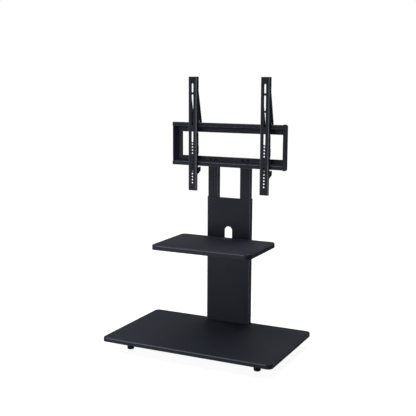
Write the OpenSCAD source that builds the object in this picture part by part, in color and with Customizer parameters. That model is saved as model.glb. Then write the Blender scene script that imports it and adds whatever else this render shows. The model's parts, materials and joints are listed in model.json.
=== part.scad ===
// Television stand: pressed steel base on levelling feet, rear column with a shelf,
// two height-adjustable uprights, and a rail frame that carries two sliding screen arms.
// Origin: on the floor under the middle of the base. +X right, +Y to the rear, +Z up.

/* [Base] */
// Width of the base plate
base_w = 656; // [560:1:760]
// Depth of the base plate
base_d = 404; // [330:1:440]
// Height of the base plate's top above the floor
base_top = 54; // [50:1:60]
// Depth of the base plate's turned-down edge
base_edge = 16; // [14:1:18]
// Corner radius of the base plate
base_r = 18; // [10:1:30]
// Sheet thickness of the base plate
base_t = 2.5; // [2:0.5:3]
// Distance of the foot centres from the base plate's ends
foot_inset_x = 78; // [69:1:120]
// Distance of the foot centres from the base plate's front and rear edges
foot_inset_y = 72; // [67:1:76]

/* [Column] */
// Width of the column
column_w = 179; // [175:1:193]
// Depth of the column
column_d = 22; // [22:1:24]
// Distance from the base plate's rear edge to the column's front face
column_inset = 28.5; // [28:0.5:40]
// Height of the column's top above the floor
column_top = 536; // [506:5:606]
// Sheet thickness of the column
column_t = 1.8; // [1.5:0.1:1.8]
// Width of the cable arch
arch_w = 30; // [20:1:34]
// Height of the arch above the shelf's top
arch_h = 42; // [30:1:60]

/* [Shelf] */
// Width of the shelf
shelf_w = 389; // [300:1:460]
// Depth of the shelf, from the column forward
shelf_d = 254; // [220:1:300]
// Height of the shelf's top above the floor
shelf_top = 384; // [346:1:406]
// Depth of the shelf's turned-down edge
shelf_edge = 18; // [14:1:20]
// Corner radius of the shelf
shelf_r = 20; // [10:1:30]
// Sheet thickness of the shelf
shelf_t = 2; // [1.5:0.5:2.5]

/* [Uprights] */
// Width of each upright tube
tube_w = 43; // [39:1:43]
// Depth of each upright tube
tube_d = 18; // [16:0.5:18]
// Wall thickness of the tubes
tube_t = 1.5; // [1.2:0.1:2]
// Height of the tubes' lower ends above the floor
tube_bottom = 186; // [146:5:226]
// Distance between the height positions
position_h = 50; // [40:5:60]

/* [Mount frame] */
// Outside width of the frame
frame_w = 463; // [451:1:500]
// Distance of the frame's middle to the right of the column's middle
frame_shift = 4; // [0:0.5:6]
// Height of the frame's lower edge above the floor
frame_bottom = 652.5; // [646:0.5:706]
// Outside height of the frame
frame_h = 162.5; // [160:0.5:170]
// Depth of the frame, from its lips back to its webs
frame_d = 23; // [22:0.5:24]
// Sheet thickness of the frame
frame_t = 2; // [1.8:0.1:2.2]
// Height of a rail's front lip
lip_h = 13; // [12:0.5:14]
// Rise of the sloping ledge between lip and web
ledge_rise = 8; // [6:0.5:10]
// Height of a rail's rear web
web_h = 15.5; // [15:0.5:17]
// Depth of the flange turned back along a rail's outer edge
return_d = 10; // [8:0.5:10]
// Width of the left post's sloping panel
panel_w = 18; // [14:0.5:20]
// Width of the left post's web
panel_web_w = 16; // [12:0.5:18]
// Width of the right post's lip
lip_w = 14; // [12:0.5:16]
// Width of the right post's web
lip_web_w = 9.5; // [8:0.5:14]
// Outer corner radius of the right end cap
cap_r = 7; // [5:0.5:10]

/* [Arms] */
// Width of an arm's face
arm_w = 34; // [32:1:35]
// Length of an arm
arm_h = 425; // [420:0.5:440]
// Height of the arms' tops above the frame's top
arm_rise = 169.5; // [160:0.5:175]
// X of the left arm's hole row
arm_left_x = -135; // [-195:1:-60]
// X of the right arm's hole row
arm_right_x = 155; // [60:1:195]
// Sheet thickness of the arms
arm_t = 2; // [1.8:0.1:2.2]
// Distance from an arm's face to the frame's lips
arm_gap = 15; // [14:0.5:16]
// Width of the slots in the arms
slot_w = 7; // [6:0.5:8.5]
// Diameter of the holes in the arms
hole_w = 6; // [5:0.5:8]
// Distance from hole to hole in a row
hole_apart_l = 11.4; // [10:0.1:12]
// Distance between the two holes that take a screen's screws
hole_pair = 100; // [96:1:104]

/* [Hidden] */
$fn = 48;

// Small clearances
slide_gap = 0.2;
side_gap = 0.7;
seat_gap = 0.3;
turn_gap = 0.05;

// Base plate
base_round = 4;
base_under = base_top - base_t;
stiffener_w = 30;
stiffener_h = 12;
stiffener_t = 2;
stiffener_r = 4;
stiffener_end = 40;
stiffener_front_gap = 70;
stiffener_rear_gap = 60;
foot_x = base_w / 2 - foot_inset_x;
foot_y = base_d / 2 - foot_inset_y;
stiffener_front_y = -foot_y + stiffener_front_gap;
stiffener_rear_y = foot_y - stiffener_rear_gap;

// Levelling feet
foot_r = 12.5;
foot_h = 18;
foot_round = 4;
foot_neck_r = 8;
foot_neck_h = 3;
foot_bolt_r = 4;
foot_nut_r = 7;
foot_nut_h = 8;
jam_nut_r = 7.5;
jam_nut_h = 5;
stem_short = 1;
stem_top = base_under - stem_short;

// Column
column_x = column_w / 2;
column_y = base_d / 2 - column_inset;
column_back = column_y + column_d;
column_in_y = column_y + column_t;
column_in_back = column_back - column_t;
column_r = 4;
column_lip = 32;
foot_plate_t = 6;
anchor_inner = 25;
anchor_outer = 65;
anchor_x = [-anchor_outer, -anchor_inner, anchor_inner, anchor_outer];
anchor_r = 4;
anchor_hole_r = 4.4;
anchor_head_r = 6.5;
anchor_head_h = 5;
anchor_tip = 4;
anchor_top = base_top + foot_plate_t + anchor_tip;
anchor_y = (column_in_y + column_in_back) / 2;

// Clamp screws that hold the uprights at the chosen height
clamp_drop = 25;
clamp_z = [column_top - clamp_drop - position_h, column_top - clamp_drop];
clamp_r = 4;
clamp_hole_r = 5.5;
clamp_flange_r = 8;
clamp_flange_t = 1;
clamp_head_r = 7;
clamp_head_h = 3.5;

// Shelf
shelf_round = 4;
shelf_under = shelf_top - shelf_t;
shelf_y = column_y - shelf_d / 2;
bracket_x = 32;
bracket_w = 30;
bracket_t = 3;
bracket_l = 175;
bracket_h = 75;
bracket_bottom = shelf_under - bracket_h;
bolt_r = 3;
bolt_hole_r = 3.3;
bolt_head_r = 5.5;
bolt_head_h = 4;
bolt_nut_r = 5.8;
bolt_nut_h = 5;
bracket_gap = 1;
bolt_tip = 1;
bolt_low = 15;
bolt_row_h = 30;
bracket_bolt_z = [bracket_bottom + bolt_low, bracket_bottom + bolt_low + bolt_row_h];
stud_back = 60;
stud_row_l = 90;
stud_y = [column_y - stud_back - stud_row_l, column_y - stud_back];
stud_r = 2.5;
stud_hole_r = 2.8;
stud_l = 10;
stud_nut_r = 4.6;
stud_nut_h = 4;
arch_drop = 8;
arch_bottom = shelf_under - arch_drop;
arch_top = shelf_top + arch_h;

// Uprights
tube_x = column_x - column_t - side_gap - tube_w / 2;
tube_y = column_in_y + slide_gap;
tube_r = 3;
tube_back = tube_y + tube_d;
frame_back = tube_y;
frame_front = frame_back - frame_d;
frame_top = frame_bottom + frame_h;
web_low = frame_bottom + lip_h + ledge_rise;
rail_h = lip_h + ledge_rise + web_h;
tube_short = 4.5;
tube_top = frame_bottom + rail_h - tube_short;
plug_h = 2;
plug_depth = 1.5;
plug_gap = 0.05;
index_r = 4.2;
index_count = 7;

// Frame
frame_left = frame_shift - frame_w / 2;
frame_right = frame_shift + frame_w / 2;
rail_short = 7;
mount_bolt_x = 10;
mount_rise = 5.5;
mount_bolt_z = web_low + mount_rise;
mount_bolt_r = 2.5;
mount_hole_r = 2.7;
mount_head_r = 4.5;
mount_head_h = 1.8;
mount_nut_r = 3.5;
mount_nut_l = 9;
cap_reach = 2 * cap_r;

// Arms
arm_front = frame_front - arm_gap;
arm_top = frame_top + arm_rise;
arm_bottom = arm_top - arm_h;
arm_r = 3;
hook_under = frame_top + seat_gap;
hook_depth = 46;
hook_drop = 12;
hook_gap = 1.5;
hook_nose = 4;
tab_depth = arm_gap + return_d + hook_gap;
flange_depth = 18;
flange_bump = 2.5;
flange_low_depth = 10;
flange_clear = 1;
flange_rail_depth = arm_gap - flange_clear;
flange_taper = 4;
flare_share = 0.125;
sight_hole_r = 3;
sight_hole_depth = 25;
sight_rise = 4.8;
sight_hole_z = frame_top + sight_rise;
lock_depth = 37;
lock_axis = 30;
lock_clear = 5;
lock_ear_h = 24;
lock_corner = 5;
lock_taper_h = 8;
lock_taper_l = 16;
lock_top = frame_bottom - lock_clear;
lock_bottom = lock_top - lock_ear_h;
lock_tab_t = 3;
lock_tab_l = 18;
lock_tab_z = lock_top - lock_clear - lock_tab_t;
lock_r = 3;
lock_head_r = 5.5;
lock_head_h = 8;
lock_head_z = lock_bottom - lock_head_h;
lock_engage = 10;
lock_tip = frame_bottom + lock_engage;
lock_nut_r = 5.8;
lock_nut_h = 4.5;

// Slots of an arm, as shares of its length: distance below the arm's top, and length
slot_shares = [[0.0583, 0.0785], [0.1532, 0.1288], [0.2973, 0.1262], [0.4747, 0.0968]];
// Two rows of holes, counted down from the arm's top
hole_first = 249.7;
hole_count = 4;
hole_second_count = 8;
hole_pair_index = 6;
hole_last = hole_first + (hole_count - 1) * hole_apart_l;
hole_second = hole_last + hole_pair - hole_pair_index * hole_apart_l;

steel_colour = [0.17, 0.18, 0.21];
dark_colour = [0.1, 0.1, 0.11];
zinc_colour = [0.45, 0.46, 0.48];

// Half profile of a block with a rounded upper edge, from the middle out to x = l
module edge_profile(l, h, e) {
    square([l, h - e]);
    square([l - e, h]);
    translate([l - e, h - e]) circle(e);
}

// Block with rounded corners in plan and a rounded upper edge
module soft_block(w, d, h, r, e) {
    for (x = [-1, 1], y = [-1, 1]) {
        translate([x * (w / 2 - r), y * (d / 2 - r), 0]) rotate_extrude() edge_profile(r, h, e);
    }
    for (side = [0, 1]) {
        translate([-w / 2 + r, 0, 0]) rotate([90, 0, 90]) linear_extrude(w - 2 * r)
            mirror([side, 0]) edge_profile(d / 2, h, e);
        translate([0, d / 2 - r, 0]) rotate([90, 0, 0]) linear_extrude(d - 2 * r)
            mirror([side, 0]) edge_profile(w / 2, h, e);
    }
}

// Sheet pressed into a shallow upside-down tray, with its top at z = 0
module pressed_tray(w, d, h, r, e, t) {
    translate([0, 0, -h]) difference() {
        soft_block(w, d, h, r, e);
        translate([0, 0, -t]) soft_block(w - 2 * t, d - 2 * t, h, r - t, e - t);
    }
}

// Rectangle with all corners rounded
module soft_square(w, d, r) {
    translate([r, 0]) square([w - 2 * r, d]);
    translate([0, r]) square([w, d - 2 * r]);
    for (x = [r, w - r], y = [r, d - r]) translate([x, y]) circle(r);
}

// Sheet of thickness t bent along a path of points, with round bends
module bent_sheet(points, t) {
    for (i = [0 : len(points) - 1]) translate(points[i]) circle(t / 2);
    for (i = [0 : len(points) - 2]) {
        a = points[i];
        b = points[i + 1];
        translate(a) rotate(atan2(b[1] - a[1], b[0] - a[0])) translate([0, -t / 2])
            square([norm(b - a), t]);
    }
}

// Turns a profile drawn in Y and Z into a bar along X, from x = 0 to x = l
module along_x(l) {
    rotate([90, 0, 90]) linear_extrude(l) children();
}

// Hexagonal nut or bolt head, its hole open when r is above zero
module hex(corner_r, h, r) {
    difference() {
        cylinder(h, r = corner_r, $fn = 6);
        if (r > 0) translate([0, 0, -h]) cylinder(3 * h, r = r);
    }
}

// Round head with a rounded edge, its flat side at z = 0
module button_head(r, h) {
    rotate_extrude() {
        square([r, h / 2]);
        square([r - h / 2, h]);
        intersection() {
            translate([r - h / 2, h / 2]) circle(h / 2);
            square([r, h]);
        }
    }
}

module at_feet(fx, fy) {
    translate([fx * foot_x, fy * foot_y, 0]) children();
}

module base_plate() {
    color(steel_colour) difference() {
        translate([0, 0, base_top]) pressed_tray(base_w, base_d, base_edge, base_r, base_round, base_t);
        for (x = anchor_x) translate([x, anchor_y, 0]) cylinder(2 * base_top, r = anchor_hole_r);
    }
}

// Channel welded under the base plate, open towards it
module base_stiffener(y) {
    length = base_w - 2 * base_t - 2 * stiffener_end;
    inner_w = stiffener_w - 2 * stiffener_t;
    color(dark_colour) translate([-length / 2, y, base_under - stiffener_h]) along_x(length) difference() {
        translate([-stiffener_w / 2, 0]) soft_square(stiffener_w, 2 * stiffener_h, stiffener_r);
        translate([-inner_w / 2, stiffener_t])
            soft_square(inner_w, 2 * stiffener_h, stiffener_r - stiffener_t);
        translate([-stiffener_w, stiffener_h]) square([2 * stiffener_w, 2 * stiffener_h]);
    }
}

module foot_nuts() {
    color(zinc_colour) for (x = [-1, 1], y = [-1, 1]) at_feet(x, y) {
        translate([0, 0, base_under - foot_nut_h]) difference() {
            cylinder(foot_nut_h, r = foot_nut_r);
            translate([0, 0, -foot_nut_h]) cylinder(3 * foot_nut_h, r = foot_bolt_r + turn_gap);
        }
    }
}

module foot_pad(x, y) {
    color(dark_colour) at_feet(x, y) {
        rotate_extrude() {
            square([foot_r - foot_round, foot_h]);
            translate([0, foot_round]) square([foot_r, foot_h - 2 * foot_round]);
            for (z = [foot_round, foot_h - foot_round])
                translate([foot_r - foot_round, z]) circle(foot_round);
        }
        translate([0, 0, foot_h]) cylinder(foot_neck_h, r = foot_neck_r);
    }
}

module foot_stem(x, y) {
    low = foot_h + foot_neck_h;
    color(zinc_colour) at_feet(x, y) {
        translate([0, 0, low]) cylinder(stem_top - low, r = foot_bolt_r);
        translate([0, 0, low]) hex(jam_nut_r, jam_nut_h, 0);
    }
}

// Outline of the column's folded sheet, seen from above
module column_outline() {
    difference() {
        translate([-column_x, column_y]) soft_square(column_w, column_d, column_r);
        translate([-column_x + column_t, column_in_y])
            soft_square(column_w - 2 * column_t, column_d - 2 * column_t, column_r - column_t);
        translate([-column_x + column_lip, column_in_back - column_t])
            square([column_w - 2 * column_lip, 3 * column_t]);
    }
}

module at_clamps() {
    for (x = [-1, 1], z = clamp_z) translate([x * tube_x, 0, z]) children();
}

module at_bracket_bolts() {
    for (x = [-1, 1], z = bracket_bolt_z) translate([x * bracket_x, 0, z]) children();
}

module column_cover() {
    color(steel_colour) difference() {
        translate([0, 0, base_top]) linear_extrude(column_top - base_top) column_outline();
        translate([-arch_w / 2, column_y - column_t, arch_bottom])
            cube([arch_w, 3 * column_t, arch_top - arch_w / 2 - arch_bottom]);
        translate([0, column_y - column_t, arch_top - arch_w / 2])
            rotate([-90, 0, 0]) cylinder(3 * column_t, r = arch_w / 2);
        at_bracket_bolts() translate([0, column_y - column_t, 0])
            rotate([-90, 0, 0]) cylinder(3 * column_t, r = bolt_hole_r);
        at_clamps() translate([0, column_in_back - column_t, 0])
            rotate([-90, 0, 0]) cylinder(3 * column_t, r = clamp_hole_r);
    }
}

module column_foot_plate() {
    color(dark_colour) difference() {
        translate([-column_x + column_t, column_in_y, base_top]) linear_extrude(foot_plate_t)
            soft_square(column_w - 2 * column_t, column_d - 2 * column_t, column_r - column_t);
        for (x = anchor_x) translate([x, anchor_y, 0]) cylinder(2 * base_top, r = anchor_r + turn_gap);
    }
}

module column_anchor_bolts() {
    color(zinc_colour) for (x = anchor_x) translate([x, anchor_y, 0]) {
        translate([0, 0, base_under - anchor_head_h]) hex(anchor_head_r, anchor_head_h, 0);
        translate([0, 0, base_under - anchor_head_h])
            cylinder(anchor_top - base_under + anchor_head_h, r = anchor_r);
    }
}

// Threaded inserts in the column's rear lips
module clamp_nuts() {
    color(zinc_colour) at_clamps() translate([0, column_in_back, 0]) rotate([-90, 0, 0]) difference() {
        union() {
            cylinder(column_t, r = clamp_hole_r);
            translate([0, 0, column_t]) cylinder(clamp_flange_t, r = clamp_flange_r);
        }
        translate([0, 0, -column_t]) cylinder(4 * column_t, r = clamp_r);
    }
}

module clamp_screws() {
    head_y = column_back + clamp_flange_t;
    color(dark_colour) at_clamps() {
        translate([0, tube_back + slide_gap / 2, 0]) rotate([-90, 0, 0])
            cylinder(head_y - tube_back - slide_gap / 2, r = clamp_r);
        translate([0, head_y, 0]) rotate([-90, 0, 0]) button_head(clamp_head_r, clamp_head_h);
    }
}

module shelf_plate() {
    color(steel_colour) difference() {
        translate([0, shelf_y, shelf_top])
            pressed_tray(shelf_w, shelf_d, shelf_edge, shelf_r, shelf_round, shelf_t);
        for (x = [-1, 1]) {
            translate([x * bracket_x - bracket_w / 2 - bracket_gap, column_y - 2 * shelf_t, 0])
                cube([bracket_w + 2 * bracket_gap, 4 * shelf_t, shelf_under]);
        }
    }
}

module at_studs() {
    for (x = [-1, 1], y = stud_y) translate([x * bracket_x, y, 0]) children();
}

// Threaded studs welded under the shelf
module shelf_studs() {
    color(zinc_colour) at_studs() translate([0, 0, shelf_under - stud_l]) cylinder(stud_l, r = stud_r);
}

// Welded bracket: one leg on the column, one under the shelf, and a gusset between them
module shelf_bracket(side) {
    back = column_y;
    gusset_x = side * bracket_x + (side > 0 ? -bracket_w / 2 : bracket_w / 2 - bracket_t);
    color(dark_colour) difference() {
        union() {
            translate([side * bracket_x - bracket_w / 2, back - bracket_t, bracket_bottom])
                cube([bracket_w, bracket_t, bracket_h]);
            translate([side * bracket_x - bracket_w / 2, back - bracket_l, shelf_under - bracket_t])
                cube([bracket_w, bracket_l, bracket_t]);
            translate([gusset_x, 0, 0]) along_x(bracket_t) polygon([
                [back - bracket_t, bracket_bottom], [back - bracket_t, shelf_under - bracket_t],
                [back - bracket_l, shelf_under - bracket_t], [back - bracket_l, shelf_under - 3 * bracket_t],
                [back - 5 * bracket_t, bracket_bottom]
            ]);
        }
        for (z = bracket_bolt_z) translate([side * bracket_x, back - 2 * bracket_t, z])
            rotate([-90, 0, 0]) cylinder(4 * bracket_t, r = bolt_hole_r);
        for (y = stud_y) translate([side * bracket_x, y, shelf_under - 2 * bracket_t])
            cylinder(4 * bracket_t, r = stud_hole_r);
    }
}

module shelf_bracket_bolts() {
    head_y = column_y - bracket_t;
    color(zinc_colour) at_bracket_bolts() {
        translate([0, head_y, 0]) rotate([-90, 0, 0])
            cylinder(bracket_t + column_t + bolt_nut_h + bolt_tip, r = bolt_r);
        translate([0, head_y, 0]) rotate([90, 0, 0]) button_head(bolt_head_r, bolt_head_h);
    }
}

module shelf_bracket_nuts() {
    color(zinc_colour) at_bracket_bolts() translate([0, column_in_y, 0])
        rotate([-90, 0, 0]) hex(bolt_nut_r, bolt_nut_h, bolt_r);
}

module shelf_stud_nuts() {
    color(zinc_colour) at_studs() translate([0, 0, shelf_under - bracket_t - stud_nut_h])
        hex(stud_nut_r, stud_nut_h, stud_r);
}

// Rectangular tube with rounded corners
module upright(side) {
    color(steel_colour) translate([side * tube_x, tube_y, 0]) difference() {
        translate([0, 0, tube_bottom]) linear_extrude(tube_top - tube_bottom) difference() {
            translate([-tube_w / 2, 0]) soft_square(tube_w, tube_d, tube_r);
            translate([-tube_w / 2 + tube_t, tube_t])
                soft_square(tube_w - 2 * tube_t, tube_d - 2 * tube_t, tube_r - tube_t);
        }
        for (x = [-1, 1]) translate([x * mount_bolt_x, -tube_t, mount_bolt_z])
            rotate([-90, 0, 0]) cylinder(3 * tube_t, r = mount_nut_r);
        for (i = [1 : index_count]) translate([0, tube_d - 2 * tube_t, clamp_z[1] + (2 - i) * position_h])
            rotate([-90, 0, 0]) cylinder(3 * tube_t, r = index_r);
    }
}

// Plastic plugs that close the four tube ends
module upright_plugs() {
    inner_w = tube_w - 2 * tube_t - 2 * plug_gap;
    inner_d = tube_d - 2 * tube_t - 2 * plug_gap;
    color(dark_colour) for (x = [-1, 1], end = [-1, 1]) {
        translate([x * tube_x, tube_y, end > 0 ? tube_top : tube_bottom]) {
            translate([-tube_w / 2, 0, end > 0 ? 0 : -plug_h])
                linear_extrude(plug_h) soft_square(tube_w, tube_d, tube_r);
            translate([-inner_w / 2, tube_t + plug_gap, end > 0 ? -plug_depth : 0])
                linear_extrude(plug_depth) soft_square(inner_w, inner_d, tube_r - tube_t);
        }
    }
}

// Middle line of a rail's folded sheet in Y and Z, with its outer edge at z = 0
function rail_line() = [
    [frame_front + return_d - frame_t / 2, frame_t / 2],
    [frame_front + frame_t / 2, frame_t / 2],
    [frame_front + frame_t / 2, lip_h],
    [frame_back - frame_t / 2, lip_h + ledge_rise],
    [frame_back - frame_t / 2, rail_h - frame_t / 2]
];

// Folded rail, its right end rounded to fit inside the end cap
module rail(up) {
    intersection() {
        translate([frame_left, 0, up ? frame_bottom : frame_top]) mirror([0, 0, up ? 0 : 1])
            along_x(frame_w - rail_short) bent_sheet(rail_line(), frame_t);
        translate([frame_left - cap_reach, 2 * frame_back, frame_bottom]) rotate([90, 0, 0])
            linear_extrude(2 * frame_back)
                soft_square(frame_w + cap_reach - frame_t, frame_h, cap_r - frame_t);
    }
}

module at_mount_bolts() {
    for (side = [-1, 1], x = [-1, 1]) {
        translate([side * tube_x + x * mount_bolt_x, 0, mount_bolt_z]) children();
    }
}

module rail_top() {
    color(steel_colour) rail(false);
}

module rail_bottom() {
    color(steel_colour) difference() {
        rail(true);
        at_mount_bolts() translate([0, frame_back - 2 * frame_t, 0])
            rotate([-90, 0, 0]) cylinder(4 * frame_t, r = mount_hole_r);
    }
}

// Space between the two rails, in Y and Z
module between_rails() {
    t = frame_t / 2;
    slope = ledge_rise / (frame_d - frame_t);
    rise = slope * 2 * t + t * norm([1, slope]);
    polygon([
        [frame_front - t, frame_bottom + lip_h + rise - slope * 2 * t],
        [frame_front + t, frame_bottom + lip_h + t * norm([1, slope])],
        [frame_back - 2 * t, web_low + t * norm([1, slope]) - slope * t],
        [frame_back - 2 * t, frame_bottom + rail_h],
        [frame_back + t, frame_bottom + rail_h],
        [frame_back + t, frame_top - rail_h],
        [frame_back - 2 * t, frame_top - rail_h],
        [frame_back - 2 * t, frame_top - lip_h - ledge_rise - t * norm([1, slope]) + slope * t],
        [frame_front + t, frame_top - lip_h - t * norm([1, slope])],
        [frame_front - t, frame_top - lip_h - rise + slope * 2 * t]
    ]);
}

// Folded sheet along a path in X and Y, cut to fit between the rails
module frame_post(points) {
    color(steel_colour) intersection() {
        translate([frame_left, 0, 0]) along_x(frame_w) between_rails();
        linear_extrude(2 * frame_top) bent_sheet(points, frame_t);
    }
}

// Left post: a panel that slopes back from the outer edge, then the web
module frame_post_left() {
    bend = frame_left + panel_w;
    frame_post([
        [frame_left + frame_t / 2, frame_front + frame_t + frame_t / 2],
        [bend, frame_back - frame_t / 2], [bend + panel_web_w - frame_t / 2, frame_back - frame_t / 2]
    ]);
}

// Right post: a lip with a short outer flange, a step back, then the web
module frame_post_right() {
    outer = frame_right - frame_t - frame_t / 2;
    step = frame_right - lip_w;
    front = frame_front + frame_t + frame_t / 2;
    frame_post([
        [outer, frame_front + return_d - frame_t / 2], [outer, front], [step + frame_t / 2, front],
        [step, frame_back - frame_t / 2], [step - lip_web_w + frame_t / 2, frame_back - frame_t / 2]
    ]);
}

// Cap over the rails' right ends: a front strip with its rim turned back
module frame_end_cap() {
    depth = frame_t + return_d;
    color(steel_colour) intersection() {
        translate([frame_right - lip_w, 0, 0]) cube([2 * lip_w, 2 * frame_back, 2 * frame_top]);
        difference() {
            translate([frame_left, frame_front + return_d, frame_bottom - frame_t]) rotate([90, 0, 0])
                linear_extrude(depth) soft_square(frame_w, frame_h + 2 * frame_t, cap_r);
            translate([frame_left + frame_t, frame_front + 2 * return_d, frame_bottom]) rotate([90, 0, 0])
                linear_extrude(2 * return_d) soft_square(frame_w - 2 * frame_t, frame_h, cap_r - frame_t);
        }
    }
}

module mount_bolts() {
    head_y = frame_back - frame_t;
    color(dark_colour) at_mount_bolts() translate([0, head_y, 0]) {
        rotate([-90, 0, 0]) cylinder(mount_nut_l, r = mount_bolt_r);
        rotate([90, 0, 0]) button_head(mount_head_r, mount_head_h);
    }
}

// Threaded inserts in the uprights' front walls
module mount_nuts() {
    color(zinc_colour) at_mount_bolts() translate([0, tube_y, 0]) rotate([-90, 0, 0]) difference() {
        cylinder(mount_nut_l, r = mount_nut_r);
        translate([0, 0, -mount_nut_l]) cylinder(3 * mount_nut_l, r = mount_bolt_r);
    }
}

// Outline of an arm's side flange: depth behind the face, and height
module flange_outline() {
    mid_top = frame_top - rail_h;
    mid_low = frame_bottom + rail_h;
    middle = (frame_bottom + frame_top) / 2;
    y = arm_front;
    mid_y = y + flange_depth;
    rail_y = y + flange_rail_depth;
    bump_y = mid_y + flange_bump;
    polygon([
        [y, arm_bottom], [y, arm_top], [mid_y, arm_top], [mid_y, arm_top - arm_h * flare_share],
        [y + hook_depth, frame_top + hook_nose], [y + hook_depth, hook_under - hook_drop],
        [y + tab_depth, hook_under - hook_drop], [y + tab_depth, hook_under],
        [rail_y, hook_under], [rail_y, mid_top], [mid_y, mid_top - flange_taper],
        [mid_y, middle - flange_taper], [bump_y, middle - flange_taper - flange_bump],
        [bump_y, mid_low + 3 * flange_taper], [mid_y, mid_low + 3 * flange_taper - flange_bump],
        [mid_y, mid_low + flange_taper], [rail_y, mid_low],
        [rail_y, lock_top], [y + lock_depth, lock_top],
        [y + lock_depth, lock_bottom + lock_taper_h], [y + lock_depth - lock_taper_l, lock_bottom],
        [y + flange_low_depth + lock_corner, lock_bottom], [y + flange_low_depth, lock_bottom - lock_corner],
        [y + flange_low_depth, arm_bottom]
    ]);
}

// Face of an arm with its two folded long edges, seen from above
module arm_outline() {
    difference() {
        translate([-arm_w / 2, 0]) soft_square(arm_w, 4 * arm_r, arm_r);
        translate([-arm_w / 2 + arm_t, arm_t]) soft_square(arm_w - 2 * arm_t, 4 * arm_r, arm_r - arm_t);
        translate([-arm_w, 2 * arm_r]) square([2 * arm_w, 4 * arm_r]);
    }
}

module arm_slot(top, l) {
    low = arm_top - top - l + slot_w / 2;
    for (z = [low, arm_top - top - slot_w / 2]) {
        translate([0, arm_front - arm_t, z]) rotate([-90, 0, 0]) cylinder(3 * arm_t, r = slot_w / 2);
    }
    translate([-slot_w / 2, arm_front - arm_t, low]) cube([slot_w, 3 * arm_t, l - slot_w]);
}

module arm_hole(top) {
    translate([0, arm_front - arm_t, arm_top - top]) rotate([-90, 0, 0]) cylinder(3 * arm_t, r = hole_w / 2);
}

module arm(x) {
    inner_w = arm_w - 2 * arm_t;
    color(steel_colour) translate([x, 0, 0]) difference() {
        union() {
            translate([0, arm_front, arm_bottom]) linear_extrude(arm_h) arm_outline();
            intersection() {
                union() {
                    for (side = [0, 1]) mirror([side, 0, 0])
                        translate([arm_w / 2 - arm_t, 0, 0]) along_x(arm_t) flange_outline();
                }
                translate([-arm_w, arm_front + arm_r, 0]) cube([2 * arm_w, 2 * hook_depth, 2 * arm_top]);
            }
            translate([-inner_w / 2, arm_front + lock_depth - lock_tab_l, lock_tab_z])
                cube([inner_w, lock_tab_l, lock_tab_t]);
        }
        for (s = slot_shares) arm_slot(s[0] * arm_h, s[1] * arm_h);
        for (i = [0 : hole_count - 1]) arm_hole(hole_first + i * hole_apart_l);
        for (i = [0 : hole_second_count - 1]) arm_hole(hole_second + i * hole_apart_l);
        translate([-arm_w, arm_front + sight_hole_depth, sight_hole_z])
            rotate([0, 90, 0]) cylinder(2 * arm_w, r = sight_hole_r);
        translate([0, arm_front + lock_axis, 0]) cylinder(2 * frame_bottom, r = lock_r + turn_gap);
    }
}

module lock_nut(x) {
    color(zinc_colour) translate([x, arm_front + lock_axis, lock_tab_z + lock_tab_t])
        hex(lock_nut_r, lock_nut_h, lock_r + turn_gap);
}

module lock_screw(x) {
    color(dark_colour) translate([x, arm_front + lock_axis, 0]) {
        translate([0, 0, lock_head_z]) cylinder(lock_head_h, r = lock_head_r);
        translate([0, 0, lock_head_z]) cylinder(lock_tip - lock_head_z, r = lock_r);
    }
}

base_plate();
base_stiffener(stiffener_front_y);  // base_stiffener_front
base_stiffener(stiffener_rear_y);  // base_stiffener_rear
foot_nuts();
column_cover();
column_foot_plate();
column_anchor_bolts();
clamp_nuts();
clamp_screws();
shelf_plate();
shelf_bracket(-1);  // shelf_bracket_left
shelf_bracket(1);  // shelf_bracket_right
shelf_bracket_bolts();
shelf_bracket_nuts();
shelf_studs();
shelf_stud_nuts();
upright(-1);  // upright_left
upright(1);  // upright_right
upright_plugs();
rail_top();
rail_bottom();
frame_post_left();
frame_post_right();
frame_end_cap();
mount_bolts();
mount_nuts();
arm(arm_left_x);  // arm_left
arm(arm_right_x);  // arm_right
lock_nut(arm_left_x);  // lock_nut_left
lock_nut(arm_right_x);  // lock_nut_right
lock_screw(arm_left_x);  // lock_screw_left
lock_screw(arm_right_x);  // lock_screw_right
foot_pad(-1, -1);  // foot_pad_front_left
foot_pad(1, -1);  // foot_pad_front_right
foot_pad(-1, 1);  // foot_pad_rear_left
foot_pad(1, 1);  // foot_pad_rear_right
foot_stem(-1, -1);  // foot_stem_front_left
foot_stem(1, -1);  // foot_stem_front_right
foot_stem(-1, 1);  // foot_stem_rear_left
foot_stem(1, 1);  // foot_stem_rear_right
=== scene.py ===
# %% [markdown]
# # A steel television stand with a screen mount
# The stand is pressed and folded sheet steel, powder coated in one blue-black colour, with a few
# zinc-plated and blackened screws. The solids of the part come from its CAD model and stay where
# they are. This lesson dresses them: each sheet gets the small radii of real bends and cut edges,
# each screw its socket and thread, and each finish a material built from nodes.

# %% Load the solids
import json
import math

import bmesh
import bpy
from mathutils import Matrix, Vector


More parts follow.
